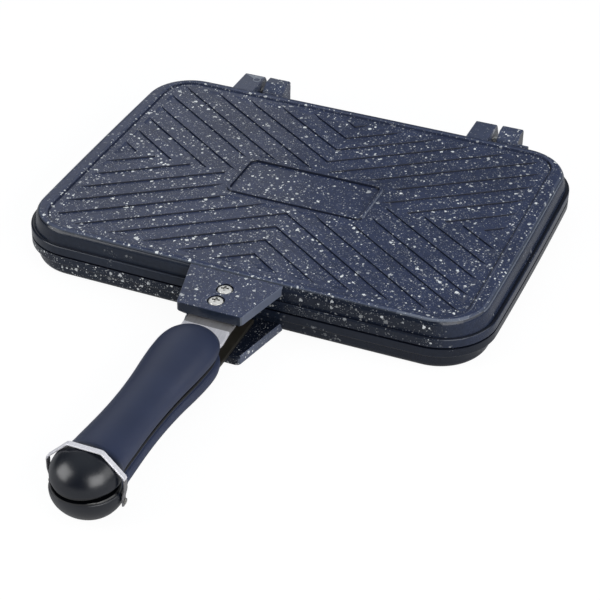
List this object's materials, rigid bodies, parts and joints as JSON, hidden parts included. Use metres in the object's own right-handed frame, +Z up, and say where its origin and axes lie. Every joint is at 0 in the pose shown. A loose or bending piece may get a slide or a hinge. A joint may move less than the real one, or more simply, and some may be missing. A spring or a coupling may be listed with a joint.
{
  "type": "stovetop sandwich toaster",
  "caption": "Stovetop sandwich toaster: hinged cast pans with chevron ribs and a bare name plate outside, a split handle on steel tangs, and a strip latch over its ball end.",
  "frame": {"origin": "centre of the lower pan's flat underside, on the surface that the closed toaster stands on", "axes": "+X to the right along the pans seen from the handle, +Y from the handle to the hinges, +Z up"},
  "size_m": [0.2832, 0.4192, 0.0403],
  "materials": {
    "pan_coating": "satin non-stick coating, dark blue grey with pale specks",
    "grip_plastic": "satin moulded",
    "strip_steel": "bright rolled strip",
    "fastener_steel": "bright nickel-plated"
  },
  "bodies": {
    "base": {"lower_pan": "pan_coating", "hinge_pin_left": "fastener_steel", "hinge_pin_right": "fastener_steel", "lower_tang": "strip_steel", "lower_grip": "grip_plastic", "lower_bracket_screw_rear": "fastener_steel", "lower_bracket_screw_front": "fastener_steel", "lower_bracket_nut_rear": "fastener_steel", "lower_bracket_nut_front": "fastener_steel", "lower_grip_screw_rear": "fastener_steel", "lower_grip_screw_front": "fastener_steel", "latch_pin_right": "fastener_steel", "latch_pin_left": "fastener_steel"},
    "lid": {"upper_pan": "pan_coating", "upper_tang": "strip_steel", "upper_grip": "grip_plastic", "upper_bracket_screw_rear": "fastener_steel", "upper_bracket_screw_front": "fastener_steel", "upper_bracket_nut_rear": "fastener_steel", "upper_bracket_nut_front": "fastener_steel", "upper_grip_screw_rear": "fastener_steel", "upper_grip_screw_front": "fastener_steel"},
    "latch": {"latch_bail": "strip_steel"}
  },
  "joints": [
    {"name": "lid_hinge", "type": "hinge", "parent": "base", "child": "lid", "pos_m": [0, 0.1135, 0.0235], "axis": [-1, 0, 0], "range_deg": [0, 98]},
    {"name": "latch_swing", "type": "hinge", "parent": "base", "child": "latch", "pos_m": [0, -0.275, 0.0138], "axis": [1, 0, 0], "range_deg": [0, 110]}
  ]
}
